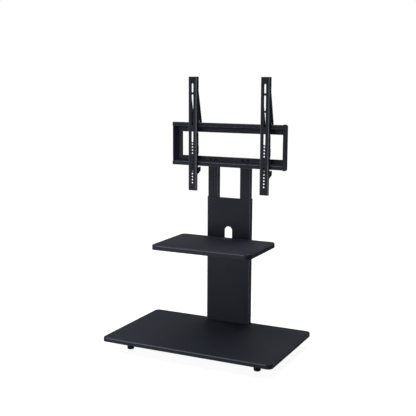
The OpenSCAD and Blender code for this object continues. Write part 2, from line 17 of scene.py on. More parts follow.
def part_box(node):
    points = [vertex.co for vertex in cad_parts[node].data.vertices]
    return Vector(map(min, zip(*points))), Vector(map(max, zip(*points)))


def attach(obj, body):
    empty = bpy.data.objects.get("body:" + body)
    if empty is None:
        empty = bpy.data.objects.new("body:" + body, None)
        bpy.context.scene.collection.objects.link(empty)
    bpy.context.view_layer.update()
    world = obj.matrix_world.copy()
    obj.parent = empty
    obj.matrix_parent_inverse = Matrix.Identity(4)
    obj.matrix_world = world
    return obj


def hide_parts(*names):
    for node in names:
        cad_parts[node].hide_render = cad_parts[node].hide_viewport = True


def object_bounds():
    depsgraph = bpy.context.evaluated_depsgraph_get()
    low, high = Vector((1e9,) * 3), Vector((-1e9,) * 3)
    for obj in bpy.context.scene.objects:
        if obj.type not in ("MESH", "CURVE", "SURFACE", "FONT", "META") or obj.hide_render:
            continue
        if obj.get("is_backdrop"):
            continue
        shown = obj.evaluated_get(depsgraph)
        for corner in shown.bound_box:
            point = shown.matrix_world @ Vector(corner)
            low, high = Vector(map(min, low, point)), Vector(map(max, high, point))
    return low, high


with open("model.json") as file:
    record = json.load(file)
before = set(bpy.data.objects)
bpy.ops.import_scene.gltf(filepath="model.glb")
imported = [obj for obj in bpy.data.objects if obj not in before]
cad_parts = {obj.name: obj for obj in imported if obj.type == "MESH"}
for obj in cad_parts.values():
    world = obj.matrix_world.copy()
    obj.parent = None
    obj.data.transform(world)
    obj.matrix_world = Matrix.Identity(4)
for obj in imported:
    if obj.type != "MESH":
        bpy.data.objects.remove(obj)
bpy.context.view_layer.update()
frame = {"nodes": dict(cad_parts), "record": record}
MM = 0.001
slot_of = {part["node"]: part["material_slot"] for part in frame["record"]["subparts"]}
body_of = {
    node: body
    for body, members in frame["record"]["behaviour"]["bodies"].items()
    for node in members
}

# %% [markdown]
# ## The camera
# The picture was taken from the stand's right, a little above the mount, with a short telephoto
# lens. The angles, the place and the lens were solved from the straight edges of the stand, so
# the camera is written down as numbers and not framed by eye.

# %% Place the camera
YAW, PITCH, ROLL = math.radians(25.91), math.radians(9.217), math.radians(-0.277)
EYE = (1.234574, -2.544817, 0.980696)
SENSOR = 36
FOCAL_PIXELS, PICTURE_PIXELS = 802.946, 416

ahead = Vector(
    (-math.sin(YAW) * math.cos(PITCH), math.cos(YAW) * math.cos(PITCH), -math.sin(PITCH))
)
level = Vector((math.cos(YAW), math.sin(YAW), 0))
down = ahead.cross(level)
right = level * math.cos(ROLL) + down * math.sin(ROLL)
up = level * math.sin(ROLL) - down * math.cos(ROLL)

lens = bpy.data.cameras.new("camera")
lens.sensor_width = SENSOR
lens.lens = SENSOR * FOCAL_PIXELS / PICTURE_PIXELS
camera = bpy.data.objects.new("camera", lens)
facing = Matrix((right, up, -ahead)).transposed().to_4x4()
camera.matrix_world = Matrix.Translation(EYE) @ facing
bpy.context.scene.collection.objects.link(camera)
bpy.context.scene.camera = camera
bpy.context.scene.view_settings.view_transform = "Standard"
print("lens", round(lens.lens, 2), "mm")

# %% [markdown]
# ## Colours and nodes
# A hex value is how a colour looks on a screen, and a shader wants linear light, so one function
# turns the first into the second. Another adds a node with its settings and links, which keeps
# each material short enough to read as a recipe.


# %% Helpers for materials
def linear(code):
    """Linear colour of a hex value such as 2b2d33."""
    parts = [int(code[i : i + 2], 16) / 255 for i in (0, 2, 4)]
    return [p / 12.92 if p <= 0.04045 else ((p + 0.055) / 1.055) ** 2.4 for p in parts] + [1.0]


def add(tree, kind, settings=None, **inputs):
    """Adds a node. An input is a value, or a socket of another node that is linked to it.

    An input is given by its name, or by its number, such as _0 for the first.
    """
    node = tree.nodes.new("ShaderNode" + kind)
    for key, value in (settings or {}).items():
        setattr(node, key, value)
    for key, value in inputs.items():
        name = key.replace("_", " ")
        socket = node.inputs[int(key[1:])] if key[1:].isdigit() else node.inputs[name]
        if isinstance(value, bpy.types.NodeSocket):
            tree.links.new(value, socket)
        else:
            socket.default_value = value
    return node


def new_material(name):
    """An empty material and its node tree."""
    material = bpy.data.materials.new(name)
    material.use_nodes = True
    material.node_tree.nodes.clear()
    return material, material.node_tree


print("middle grey on a screen is", round(linear("808080")[0], 3), "of white in linear light")

# %% [markdown]
# ## Powder coat
# The powder is sprayed on dry and melts in an oven. It gives a matt skin with a fine peel and a
# faint mottle. Along the folded and cut edges the colour is paler, a painted highlight for the
# light that they catch, and the gloss is smoother. A typical peel is about 0.3 mm wide, too fine
# to show here, so it is drawn at 1.4 mm, over a slower wave of 9 mm that breaks up the reflections
# on the flat sheets. The Bevel node marks the sharp edges, and an attribute named fold, which each
# piece brings along, marks the bends. A mark above 1 makes the painted highlight paler still, but
# no smoother.

# %% Make the powder coat
PEEL, WAVE, MOTTLE = 1.4 * MM, 9 * MM, 60 * MM
WAVE_HEIGHT = 1.5
EDGE_SMOOTHER = 0.24


def powder_coat():
    """Blue-black powder coat, paler on its edges and bends as a painted highlight, and smoother
    there.
    """
    material, tree = new_material("powder_coated_steel")
    place = add(tree, "TexCoord").outputs["Object"]
    peel = add(tree, "TexNoise", Vector=place, Scale=1 / PEEL, Detail=2.0, Roughness=0.6)
    wave = add(tree, "TexNoise", Vector=place, Scale=1 / WAVE, Detail=1.0, Roughness=0.4)
    mottle = add(tree, "TexNoise", Vector=place, Scale=1 / MOTTLE, Detail=3.0, Roughness=0.5)
    height = add(
        tree, "Math", {"operation": "MULTIPLY_ADD"},
        _0=wave.outputs["Fac"], _1=WAVE_HEIGHT, _2=peel.outputs["Fac"],
    )
    bump = add(tree, "Bump", Height=height.outputs[0], Strength=0.35, Distance=0.06 * MM)
    soft = add(tree, "Bevel", {"samples": 4}, Radius=0.9 * MM)
    plain = add(tree, "NewGeometry")
    turned_away = add(
        tree, "VectorMath", {"operation": "DOT_PRODUCT"},
        _0=soft.outputs["Normal"], _1=plain.outputs["Normal"],
    )
    # Painted highlight: sharp edges, and the bends marked fold, get a paler colour in place of the
    # light they catch.
    edge = add(
        tree, "MapRange",
        Value=turned_away.outputs["Value"], From_Min=1.0, From_Max=0.86, To_Min=0.0, To_Max=0.5,
    )
    fold = add(tree, "Attribute", {"attribute_name": "fold"})
    painted_highlight = add(tree, "Math", {"operation": "MAXIMUM"}, _0=fold.outputs["Fac"], _1=edge.outputs[0])
    broad = add(
        tree, "Mix", {"data_type": "RGBA"},
        _0=mottle.outputs["Fac"], _6=linear("171d2f"), _7=linear("1d2335"),
    )
    # The painted highlight colour 646877 is mixed over the coat's own colour wherever the mask is
    # set.
    coat_with_highlight = add(
        tree, "Mix", {"data_type": "RGBA", "clamp_factor": False},
        _0=painted_highlight.outputs[0], _6=broad.outputs[2], _7=linear("646877"),
    )
    shine = add(tree, "Math", {"operation": "MINIMUM"}, _0=painted_highlight.outputs[0], _1=1.0)
    gloss = add(
        tree, "MapRange",
        Value=mottle.outputs["Fac"], From_Min=0.3, From_Max=0.7, To_Min=0.61, To_Max=0.65,
    )
    smoother = add(
        tree, "Math", {"operation": "MULTIPLY_ADD"},
        _0=shine.outputs[0], _1=-EDGE_SMOOTHER, _2=gloss.outputs[0],
    )
    shader = add(
        tree, "BsdfPrincipled", Base_Color=coat_with_highlight.outputs[2], Roughness=smoother.outputs[0],
        IOR=1.5, Normal=bump.outputs["Normal"],
    )
    add(tree, "OutputMaterial", Surface=shader.outputs[0])
    return material


finishes = {"powder_coat": powder_coat()}
print("powder coat made, peel", PEEL / MM, "mm")

# %% [markdown]
# ## Zinc plate
# Plated screws and nuts are metal with a cloudy passivated skin of a faint yellow and blue. The
# clouds are a few millimetres wide and change the colour and the gloss together.

# %% Make the zinc plate
CLOUD, ZINC_GRAIN = 5 * MM, 0.8 * MM


def zinc_plated_steel():
    """Bright metal under a cloudy skin."""
    material, tree = new_material("zinc_plated_steel")
    place = add(tree, "TexCoord").outputs["Object"]
    cloud = add(tree, "TexNoise", Vector=place, Scale=1 / CLOUD, Detail=3.0, Roughness=0.6)
    grain = add(tree, "TexNoise", Vector=place, Scale=1 / ZINC_GRAIN, Detail=1.0)
    colour = add(
        tree, "Mix", {"data_type": "RGBA"},
        _0=cloud.outputs["Fac"], _6=linear("a8a690"), _7=linear("a3abb6"),
    )
    rough = add(
        tree, "MapRange",
        Value=cloud.outputs["Fac"], From_Min=0.3, From_Max=0.7, To_Min=0.28, To_Max=0.46,
    )
    bump = add(tree, "Bump", Height=grain.outputs["Fac"], Strength=0.2, Distance=0.03 * MM)
    shader = add(
        tree, "BsdfPrincipled", Base_Color=colour.outputs[2], Metallic=1.0,
        Roughness=rough.outputs[0], Normal=bump.outputs["Normal"],
    )
    add(tree, "OutputMaterial", Surface=shader.outputs[0])
    return material


finishes["zinc_plate"] = zinc_plated_steel()
print("zinc plate made, clouds", CLOUD / MM, "mm")

# %% [markdown]
# ## Blackened steel, rubber and plastic
# The screws in view are blackened steel. The pads are moulded rubber with a dull, fine grain, and
# the tube plugs are polyethylene, which is a little waxy. All three are near black with one fine
# grain, so one function makes them from different colours, grains and roughness.

# %% Make the dark finishes
ROUGHNESS_SPREAD = 0.06


def grained(name, dark, pale, grain_mm, roughness, depth_mm, metallic=0.0):
    """A dull finish with one grain: two close colours and a bump from the same noise."""
    material, tree = new_material(name)
    place = add(tree, "TexCoord").outputs["Object"]
    grain = add(
        tree, "TexNoise", Vector=place, Scale=1 / (grain_mm * MM), Detail=2.0, Roughness=0.6,
    )
    colour = add(
        tree, "Mix", {"data_type": "RGBA"},
        _0=grain.outputs["Fac"], _6=linear(dark), _7=linear(pale),
    )
    rough = add(
        tree, "MapRange",
        Value=grain.outputs["Fac"], From_Min=0.3, From_Max=0.7,
        To_Min=roughness - ROUGHNESS_SPREAD, To_Max=roughness + ROUGHNESS_SPREAD,
    )
    bump = add(tree, "Bump", Height=grain.outputs["Fac"], Strength=0.3, Distance=depth_mm * MM)
    shader = add(
        tree, "BsdfPrincipled", Base_Color=colour.outputs[2], Metallic=metallic,
        Roughness=rough.outputs[0], Normal=bump.outputs["Normal"],
    )
    add(tree, "OutputMaterial", Surface=shader.outputs[0])
    return material


finishes["black_screw"] = grained(
    "black_oxide_steel", "1c1c1e", "2a2a2d", 1.2, 0.4, 0.03, metallic=1.0,
)
finishes["black_plastic"] = grained("polyethylene_plug", "131417", "191a1d", 1.0, 0.45, 0.04)
finishes["rubber_pad"] = grained("moulded_rubber", "111113", "18181a", 0.8, 0.75, 0.06)
print("finishes", sorted(finishes))

# %% [markdown]
# ## How a piece is finished
# Every piece ends in the same way: its mesh becomes an object at the origin, it takes the finish
# of a slot, it rides on a body, and it may stand for a CAD node. The Bevel modifier rounds what
# is still a sharp edge, because no real edge is sharp, and Weighted Normal keeps the big flats
# flat. The narrow strips of a bend are marked on the way, for the painted highlight on them.

# %% Helpers that finish a piece
CREASE = math.radians(32)
SQUARE = 0.998
SHORTEST_FOLD, WIDEST_STRIP = 8 * MM, 0.9 * MM


def mark_folds(bm, steepest, highlight_boost):
    """Marks the narrow strips of a bend that face no further up than a limit.

    The strips that face up or right can carry a stronger painted highlight than the others.
    """
    layer = bm.faces.layers.float.new("fold")
    for face in bm.faces:
        length = max(e.calc_length() for e in face.edges)
        leaning = max(abs(c) for c in face.normal) < SQUARE and face.normal.z < steepest
        if leaning and length > SHORTEST_FOLD and face.calc_area() / length < WIDEST_STRIP:
            # Strips that face up or right, where the lamps would light them, get the stronger
            # painted highlight.
            face[layer] = highlight_boost if max(face.normal.x, face.normal.z) > 0.05 else 1.0


def make_piece(name, bm, node, edge=0.4, stands_for=True, steepest=1.0, highlight_boost=1.0):
    """Turns a bmesh into a piece that rides with a CAD node's body and takes its place.

    The edge is how wide the rounding of a sharp edge is, in mm.
    """
    mesh = bpy.data.meshes.new(name)
    bm.normal_update()
    mark_folds(bm, steepest, highlight_boost)
    bm.to_mesh(mesh)
    bm.free()
    mesh.shade_smooth()
    mesh.set_sharp_from_angle(angle=CREASE)
    piece = bpy.data.objects.new(name, mesh)
    bpy.context.scene.collection.objects.link(piece)
    slot = slot_of[node]
    mesh.materials.append(finishes[slot])
    if edge:
        rounding = piece.modifiers.new("edges", "BEVEL")
        rounding.width = edge * MM
        rounding.segments = 2
        rounding.limit_method = "ANGLE"
        rounding.angle_limit = CREASE
        piece.modifiers.new("flats", "WEIGHTED_NORMAL").keep_sharp = True
    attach(piece, body_of[node])
    if stands_for:
        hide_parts(node)
    return piece


print("edges sharper than", round(math.degrees(CREASE)), "degrees are rounded")

# %% [markdown]
# ## Base and shelf
# Both are one sheet of steel pressed into a shallow upside-down tray: rounded corners in plan, a
# soft shoulder where the top turns down, and an open underside. A grid of one face has its four
# corners rounded, its rim is pulled down, the shoulder is rounded, and Solidify gives the sheet
# its thickness inwards, so the outside stays exactly on the CAD size. The strips of the shoulder
# that face mostly up get no fold mark.

# %% Press the trays
CORNER_STEPS, SHOULDER_STEPS = 12, 8
# Only the lower strips of the shoulder get the painted highlight, so that it sits where the light
# would catch the shoulder.
SHOULDER_STEEPEST = 0.75
TOUCH = 1e-6


def pressed_tray(node, corner, shoulder, sheet):
    """A tray in a node's box, with two radii and a thickness in mm."""
    low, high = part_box(node)
    bm = bmesh.new()
    size = Matrix.Diagonal((high.x - low.x, high.y - low.y, 1, 1))
    middle = Matrix.Translation(((high.x + low.x) / 2, (high.y + low.y) / 2, high.z))
    bmesh.ops.create_grid(bm, x_segments=1, y_segments=1, size=0.5, matrix=middle @ size)
    bmesh.ops.bevel(
        bm, geom=bm.verts[:], affect="VERTICES", offset=corner * MM, segments=CORNER_STEPS,
        profile=0.5, material=-1,
    )
    rim = [e for e in bm.edges if e.is_boundary]
    pulled = bmesh.ops.extrude_edge_only(bm, edges=rim)["geom"]
    skirt = [v for v in pulled if isinstance(v, bmesh.types.BMVert)]
    bmesh.ops.translate(bm, verts=skirt, vec=(0, 0, low.z - high.z))
    bmesh.ops.recalc_face_normals(bm, faces=bm.faces)
    if max(bm.faces, key=lambda f: f.calc_area()).normal.z < 0:
        bmesh.ops.reverse_faces(bm, faces=bm.faces)
    top_edges = [e for e in bm.edges if all(abs(v.co.z - high.z) < TOUCH for v in e.verts)]
    bmesh.ops.bevel(
        bm, geom=top_edges, affect="EDGES", offset=shoulder * MM, segments=SHOULDER_STEPS,
        profile=0.5, material=-1,
    )
    piece = make_piece(node + "_pressing", bm, node, edge=0.6, steepest=SHOULDER_STEEPEST)
    wall = piece.modifiers.new("sheet", "SOLIDIFY")
    wall.thickness = sheet * MM
    wall.offset = -1
    wall.use_even_offset = True
    piece.modifiers.move(len(piece.modifiers) - 1, 0)
    print(node, [round(x / MM, 1) for x in high - low])


pressed_tray("base_plate", corner=18, shoulder=4, sheet=2.5)
pressed_tray("shelf_plate", corner=20, shoulder=4, sheet=2.0)

# %% [markdown]
# ## Folded sheets and tubes
# The column, rails, posts, end cap, arms and brackets are cut by laser and folded on a press
# brake. Their solids already have the right bends and holes, so each gets a merged copy with
# softened edges, which costs little and keeps every hole where it belongs. Some tight bends of
# the rails and arms show as pale lines in the picture, where they catch the light. Here those
# lines are a painted highlight, a stronger fold mark that makes the coat paler on their bends.
# The plugs in the tube ends are moulded, so their edges are rounder.

# %% Soften the folded sheets
SHEETS = [
    "base_stiffener_front", "base_stiffener_rear", "column_cover", "column_foot_plate",
    "shelf_bracket_left", "shelf_bracket_right", "upright_left", "upright_right",
    "rail_top", "rail_bottom", "frame_post_left", "frame_post_right", "frame_end_cap",
    "arm_left", "arm_right",
]
# The rails and arms get the strongest painted highlight on their bends.
STRONG_HIGHLIGHT_PARTS = ("rail_top", "rail_bottom", "arm_left", "arm_right")
STRONGEST_HIGHLIGHT = 2.6
FLAT_WITHIN = math.radians(0.4)
MERGE = 0.001 * MM


def from_solid(node, edge=0.4, highlight_boost=1.0):
    """A copy of a CAD solid with its triangles merged, its flats joined and its edges rounded."""
    bm = bmesh.new()
    bm.from_mesh(frame["nodes"][node].data)
    bmesh.ops.remove_doubles(bm, verts=bm.verts, dist=MERGE)
    bmesh.ops.dissolve_limit(bm, angle_limit=FLAT_WITHIN, verts=bm.verts, edges=bm.edges)
    return make_piece(node + "_sheet", bm, node, edge=edge, highlight_boost=highlight_boost)


for node in SHEETS:
    piece = from_solid(node, highlight_boost=STRONGEST_HIGHLIGHT if node in STRONG_HIGHLIGHT_PARTS else 1.0)
    print(node, len(piece.data.polygons), "faces")
from_solid("upright_plugs", edge=0.8)

# %% [markdown]
# ## Turned and hexagonal pieces
# Screws, nuts and rubber pads are all rings stacked along an axis. One function starts from a
# circle and extrudes it from ring to ring, each with its own radius and height, round or with
# flats. It makes a hexagonal nut as well as a domed head with a hexagonal socket.

# %% Helpers that stack rings
AROUND = 48
THINNEST = 1e-4
RING_MERGE = 0.002 * MM


def flats(angle, sides):
    """How far out a point lies on a polygon whose corners are at 1, at that angle."""
    half = math.pi / sides
    return math.cos(half) / math.cos((angle % (2 * half)) - half)


def turned(bm, rings, place):
    """Stacks rings (radius, height, sides) in mm along Z, then moves them to their place."""
    last = None
    made = []
    for radius, height, sides in rings:
        if last is None:
            circle = bmesh.ops.create_circle(bm, segments=AROUND, radius=1.0, cap_ends=False)
            ring = circle["verts"]
            edges = list({e for v in ring for e in v.link_edges})
        else:
            grown = bmesh.ops.extrude_edge_only(bm, edges=last)["geom"]
            ring = [g for g in grown if isinstance(g, bmesh.types.BMVert)]
            edges = [g for g in grown if isinstance(g, bmesh.types.BMEdge)]
            edges = [e for e in edges if all(v in ring for v in e.verts)]
        for v in ring:
            angle = math.atan2(v.co.y, v.co.x)
            reach = max(radius, THINNEST) * MM * (flats(angle, sides) if sides else 1.0)
            v.co = Vector((reach * math.cos(angle), reach * math.sin(angle), height * MM))
        made += ring
        last = edges
    bmesh.ops.remove_doubles(bm, verts=made, dist=RING_MERGE)
    bmesh.ops.transform(bm, matrix=place, verts=[v for v in made if v.is_valid])


def stands(x, y, z, axis="Z"):
    """Place of a turned piece, in mm, and the way its heights run."""
    turn = {
        "Z": Matrix.Identity(4),
        "-Z": Matrix.Rotation(math.pi, 4, "X"),
        "Y": Matrix.Rotation(-math.pi / 2, 4, "X"),
        "-Y": Matrix.Rotation(math.pi / 2, 4, "X"),
    }[axis]
    return Matrix.Translation((x * MM, y * MM, z * MM)) @ turn


def turned_piece(name, node, sets):
    """One piece from several (rings, place) pairs."""
    bm = bmesh.new()
    for rings, place in sets:
        turned(bm, rings, place)
    bmesh.ops.recalc_face_normals(bm, faces=bm.faces)
    make_piece(name, bm, node, edge=0)


print("a hexagon's flat lies at", round(flats(math.pi / 6, 6), 3), "of its corner")

# %% [markdown]
# ## Nuts and heads
# A nut is a hexagon whose corners are cut off by a cone above and below, and its bore is wider at
# the ends to lead the screw in. A button head is a low dome with a hexagonal socket. Each is one
# list of rings, and a ring counts as round unless it has a number of sides.

# %% List the rings of nuts and heads
HEXAGON_ACROSS = math.cos(math.pi / 6)
DOME_ANGLES = (0, 0.3, 0.6, 0.85)


def nut_rings(corner, height, bore):
    """A hexagonal nut with chamfered corners and a countersunk bore."""
    across = corner * HEXAGON_ACROSS
    lead = (corner - across) * 0.6
    return [
        (bore + 0.5, 0, 0), (across, 0, 0), (corner, lead, 6), (corner, height - lead, 6),
        (across, height, 0), (bore + 0.5, height, 0), (bore, height - 0.5, 0), (bore, 0.5, 0),
        (bore + 0.5, 0, 0),
    ]


def hex_head_rings(corner, height):
    """A hexagonal bolt head, chamfered at its free end."""
    across = corner * HEXAGON_ACROSS
    lead = (corner - across) * 0.8
    return [
        (0, 0, 0), (corner, 0, 6), (corner, height - lead, 6), (across, height, 0), (0, height, 0),
    ]


def button_rings(radius, height, socket):
    """A domed head with a hexagonal socket, its flat side at height 0."""
    dome = [
        (radius * math.cos(a), height * (0.25 + 0.75 * math.sin(a)), 0) for a in DOME_ANGLES
    ]
    rim = dome[-1][1] + 0.05
    return [(0, 0, 0), (radius, 0, 0)] + dome + [
        (socket + 0.35, rim, 0), (socket, rim - 0.25, 6), (socket, rim - 0.55 * height, 6),
        (0, rim - 0.7 * height, 0),
    ]


print("a nut has", len(nut_rings(corner=7.5, height=5, bore=3.6)), "rings of", AROUND, "points")

# %% [markdown]
# ## Threads
# A thread is one notch swept round and up. A line of one pitch, out, in and out again, is spun
# with a rise, and each turn lands on the last. The two ends are cut flat and closed.

# %% Helpers for threads
M8, M6, M5 = (4, 1.25), (3, 1.0), (2.5, 0.8)
TURN_STEPS = 20
NOTCH = 0.54
THREAD_MERGE, CUT_MERGE = 0.005 * MM, 0.0005 * MM


def thread(bm, radius, pitch, low, high, place):
    """Adds a thread between two heights in mm, and moves it to its place."""
    part = bmesh.new()
    start = low - 2 * pitch
    turns = int((high - low) / pitch) + 4
    line = [(radius, 0), (radius - NOTCH * pitch, pitch * 0.5), (radius, pitch)]
    verts = [part.verts.new((r * MM, 0, (start + z) * MM)) for r, z in line]
    edges = [part.edges.new(pair) for pair in zip(verts, verts[1:])]
    bmesh.ops.spin(
        part, geom=verts + edges, cent=(0, 0, 0), axis=(0, 0, 1),
        dvec=(0, 0, pitch * MM / TURN_STEPS), angle=2 * math.pi * turns,
        steps=TURN_STEPS * turns, use_merge=False, use_duplicate=False,
    )
    bmesh.ops.remove_doubles(part, verts=part.verts, dist=THREAD_MERGE)
    for height, side in ((low, -1), (high, 1)):
        cut = bmesh.ops.bisect_plane(
            part, geom=part.verts[:] + part.edges[:] + part.faces[:], plane_co=(0, 0, height * MM),
            plane_no=(0, 0, side), clear_outer=True, dist=CUT_MERGE,
        )["geom_cut"]
        open_end = [e for e in cut if isinstance(e, bmesh.types.BMEdge)]
        bmesh.ops.holes_fill(part, edges=open_end, sides=0)
    bmesh.ops.transform(part, matrix=place, verts=part.verts)
    mesh = bpy.data.meshes.new("thread")
    part.to_mesh(mesh)
    part.free()
    bm.from_mesh(mesh)
    bpy.data.meshes.remove(mesh)


def threaded_piece(name, node, threads, sets=()):
    """Threads (radius, pitch, low, high, place) and turned rings in one piece."""
    bm = bmesh.new()
    for radius, pitch, low, high, place in threads:
        thread(bm, radius, pitch, low, high, place)
    for rings, place in sets:
        turned(bm, rings, place)
    bmesh.ops.recalc_face_normals(bm, faces=bm.faces)
    make_piece(name, bm, node, edge=0)


print("M8, M6 and M5: radius and pitch in mm", M8, M6, M5)

# %% [markdown]
# ## Levelling feet
# Each foot is a moulded rubber pad on an M8 stud that screws into a nut welded under the base. A
# jam nut sits on the pad's neck. The pad has two shallow grip grooves round its side.

# %% Make the feet
FOOT_X, FOOT_Y = 250, 130
PAD_TOP, STEM_LOW, STEM_HIGH, NUT_LOW = 21, 20.5, 50.5, 43.5
PAD = [
    (0, 0.6, 0), (7.5, 0.6, 0), (8.2, 0, 0), (9.4, 0, 0), (11.4, 1.2, 0), (12.4, 3.2, 0),
    (12.5, 4.6, 0), (12.05, 5.0, 0), (12.05, 5.5, 0), (12.5, 5.9, 0), (12.5, 10.4, 0),
    (12.05, 10.8, 0), (12.05, 11.3, 0), (12.5, 11.7, 0), (12.4, 14.6, 0), (11.4, 16.6, 0),
    (9.6, 17.8, 0), (8.3, 18.1, 0), (8, 18.7, 0), (8, 20.4, 0), (7.4, PAD_TOP, 0), (0, PAD_TOP, 0),
]
WELDED_NUT = [
    (4.3, 0, 0), (6.6, 0, 0), (7, 0.5, 0), (7, 8, 0), (4.05, 8, 0), (4.05, 0.4, 0), (4.3, 0, 0),
]
STEM_NUT = nut_rings(corner=7.5, height=5, bore=3.6)
for end, y in (("front", -FOOT_Y), ("rear", FOOT_Y)):
    for side, x in (("left", -FOOT_X), ("right", FOOT_X)):
        pad, stem = f"foot_pad_{end}_{side}", f"foot_stem_{end}_{side}"
        turned_piece(pad + "_rubber", pad, [(PAD, stands(x, y, 0))])
        threaded_piece(
            stem + "_thread", stem,
            [(*M8, STEM_LOW, STEM_HIGH, stands(x, y, 0))],
            [(STEM_NUT, stands(x, y, PAD_TOP))],
        )
        print("foot", end, side, "at", x, y)
turned_piece("foot_nuts_welded", "foot_nuts", [
    (WELDED_NUT, stands(x, y, NUT_LOW)) for x in (-FOOT_X, FOOT_X) for y in (-FOOT_Y, FOOT_Y)
])

# %% [markdown]
# ## Anchor bolts
# Four hexagonal bolts pull the column down on the base. They go in from below, through the base
# and into the thick plate at the column's foot.

# %% Make the anchor bolts
BASE_UNDER, ANCHOR_TOP = 51.5, 64
ANCHOR_HEAD = hex_head_rings(corner=6.5, height=5)
anchors = [(x, 184.5) for x in (-65, -25, 25, 65)]
threaded_piece(
    "column_anchor_bolts_m8", "column_anchor_bolts",
    [(*M8, BASE_UNDER - 0.5, ANCHOR_TOP, stands(x, y, 0)) for x, y in anchors],
    [(ANCHOR_HEAD, stands(x, y, BASE_UNDER, "-Z")) for x, y in anchors],
)
print(len(anchors), "anchor bolts")

# %% [markdown]
# ## Screws of the shelf
# Two button screws with nuts hold each shelf bracket to the column. The shelf has four studs
# welded under it, which go down through the brackets into their nuts.

# %% Make the screws of the shelf
BRACKET_X, BRACKET_FACE, COLUMN_INSIDE = 32, 170.5, 175.3
BRACKET_HEAD = button_rings(radius=5.5, height=4, socket=2.0)
BRACKET_NUT = nut_rings(corner=5.8, height=5, bore=3)
brackets = [(x, z) for x in (-BRACKET_X, BRACKET_X) for z in (322, 352)]
threaded_piece(
    "shelf_bracket_bolts_m6", "shelf_bracket_bolts",
    [(*M6, 0, 10.8, stands(x, BRACKET_FACE, z, "Y")) for x, z in brackets],
    [(BRACKET_HEAD, stands(x, BRACKET_FACE, z, "-Y")) for x, z in brackets],
)
turned_piece(
    "shelf_bracket_nuts_m6", "shelf_bracket_nuts",
    [(BRACKET_NUT, stands(x, COLUMN_INSIDE, z, "Y")) for x, z in brackets],
)

STUD_LOW, NUT_UNDER, SHELF_UNDER = 372, 375, 382
STUD_NUT = nut_rings(corner=4.6, height=4, bore=2.5)
studs = [(x, y) for x in (-BRACKET_X, BRACKET_X) for y in (23.5, 113.5)]
threaded_piece(
    "shelf_studs_m5", "shelf_studs",
    [(*M5, STUD_LOW, SHELF_UNDER, stands(x, y, 0)) for x, y in studs],
)
turned_piece(
    "shelf_stud_nuts_m5", "shelf_stud_nuts",
    [(STUD_NUT, stands(x, y, NUT_UNDER)) for x, y in studs],
)
print(len(brackets), "bracket bolts and", len(studs), "studs")

# %% [markdown]
# ## Clamp screws
# Behind, four button screws in flanged inserts clamp the uprights at the chosen height. Here they
# end just short of the tubes, so that the tubes slide past them.

# %% Make the clamp screws
UPRIGHT_X, LIP_INSIDE, INSERT_FACE = 65.5, 193.7, 196.5
INSERT = [
    (4, 0, 0), (5.5, 0, 0), (5.5, 1.8, 0), (7.6, 1.8, 0), (8, 2.1, 0), (8, 2.5, 0), (7.6, 2.8, 0),
    (4.4, 2.8, 0), (4, 2.4, 0), (4, 0, 0),
]
CLAMP_HEAD = button_rings(radius=7, height=3.5, socket=2.6)
clamps = [(x, z) for x in (-UPRIGHT_X, UPRIGHT_X) for z in (461, 511)]
turned_piece(
    "clamp_inserts", "clamp_nuts", [(INSERT, stands(x, LIP_INSIDE, z, "Y")) for x, z in clamps],
)
threaded_piece(
    "clamp_screws_m8", "clamp_screws",
    [(*M8, LIP_INSIDE, INSERT_FACE, stands(x, 0, z, "Y")) for x, z in clamps],
    [(CLAMP_HEAD, stands(x, INSERT_FACE, z, "Y")) for x, z in clamps],
)
print(len(clamps), "clamp screws")

# %% [markdown]
# ## Screws of the mount
# Two button screws per upright hold the lower rail, in inserts set in the tube. Each arm has a
# lock screw that turns up behind the rail, with a hexagonal socket in its long head.

# %% Make the screws of the mount
RAIL_FACE, TUBE_FACE = 173.5, 175.5
BARREL = [(2.5, 0, 0), (3.5, 0, 0), (3.5, 9, 0), (2.5, 9, 0), (2.5, 0, 0)]
MOUNT_HEAD = button_rings(radius=4.5, height=1.8, socket=1.6)
mounts = [(side * UPRIGHT_X + x, 679) for side in (-1, 1) for x in (-10, 10)]
threaded_piece(
    "mount_bolts_m5", "mount_bolts",
    [(*M5, 0, 9, stands(x, RAIL_FACE, z, "Y")) for x, z in mounts],
    [(MOUNT_HEAD, stands(x, RAIL_FACE, z, "-Y")) for x, z in mounts],
)
turned_piece(
    "mount_inserts", "mount_nuts", [(BARREL, stands(x, TUBE_FACE, z, "Y")) for x, z in mounts],
)

LOCK_Y, LOCK_HEAD, LOCK_NUT_LOW = 167.5, 623.5, 642.5
LOCK_LOW, LOCK_TIP = 623.4, 662.5
LONG_HEAD = [
    (0, 0, 0), (5.2, 0, 0), (5.5, 0.4, 0), (5.5, 7.4, 0), (4.9, 8, 0), (2.9, 8, 0), (2.5, 7.6, 6),
    (2.5, 4, 6), (0, 3.4, 0),
]
LOCK_NUT = nut_rings(corner=5.8, height=4.5, bore=3.05)
for side, x in (("left", -135), ("right", 155)):
    threaded_piece(
        f"lock_screw_{side}_m6", f"lock_screw_{side}",
        [(*M6, LOCK_LOW, LOCK_TIP, stands(x, LOCK_Y, 0))],
        [(LONG_HEAD, stands(x, LOCK_Y, LOCK_HEAD, "-Z"))],
    )
    turned_piece(
        f"lock_nut_{side}_m6", f"lock_nut_{side}",
        [(LOCK_NUT, stands(x, LOCK_Y, LOCK_NUT_LOW))],
    )
print(len(mounts), "mount bolts and 2 lock screws")

# %% [markdown]
# ## Welds
# The brackets and the channels are welded in short stitches, because one long seam would warp
# the thin sheet. A bead is a row of ripples, one for each step of the torch. A bevelled strip
# would give its outline but not its ripples, so every ripple is a squashed ball whose middle lies
# in the corner, and the next one overlaps it.

# %% Lay the weld beads
RIPPLE, STITCH, LEG = 1.4 * MM, 20 * MM, 2.2 * MM
BRACKET_SHEET = 3 * MM


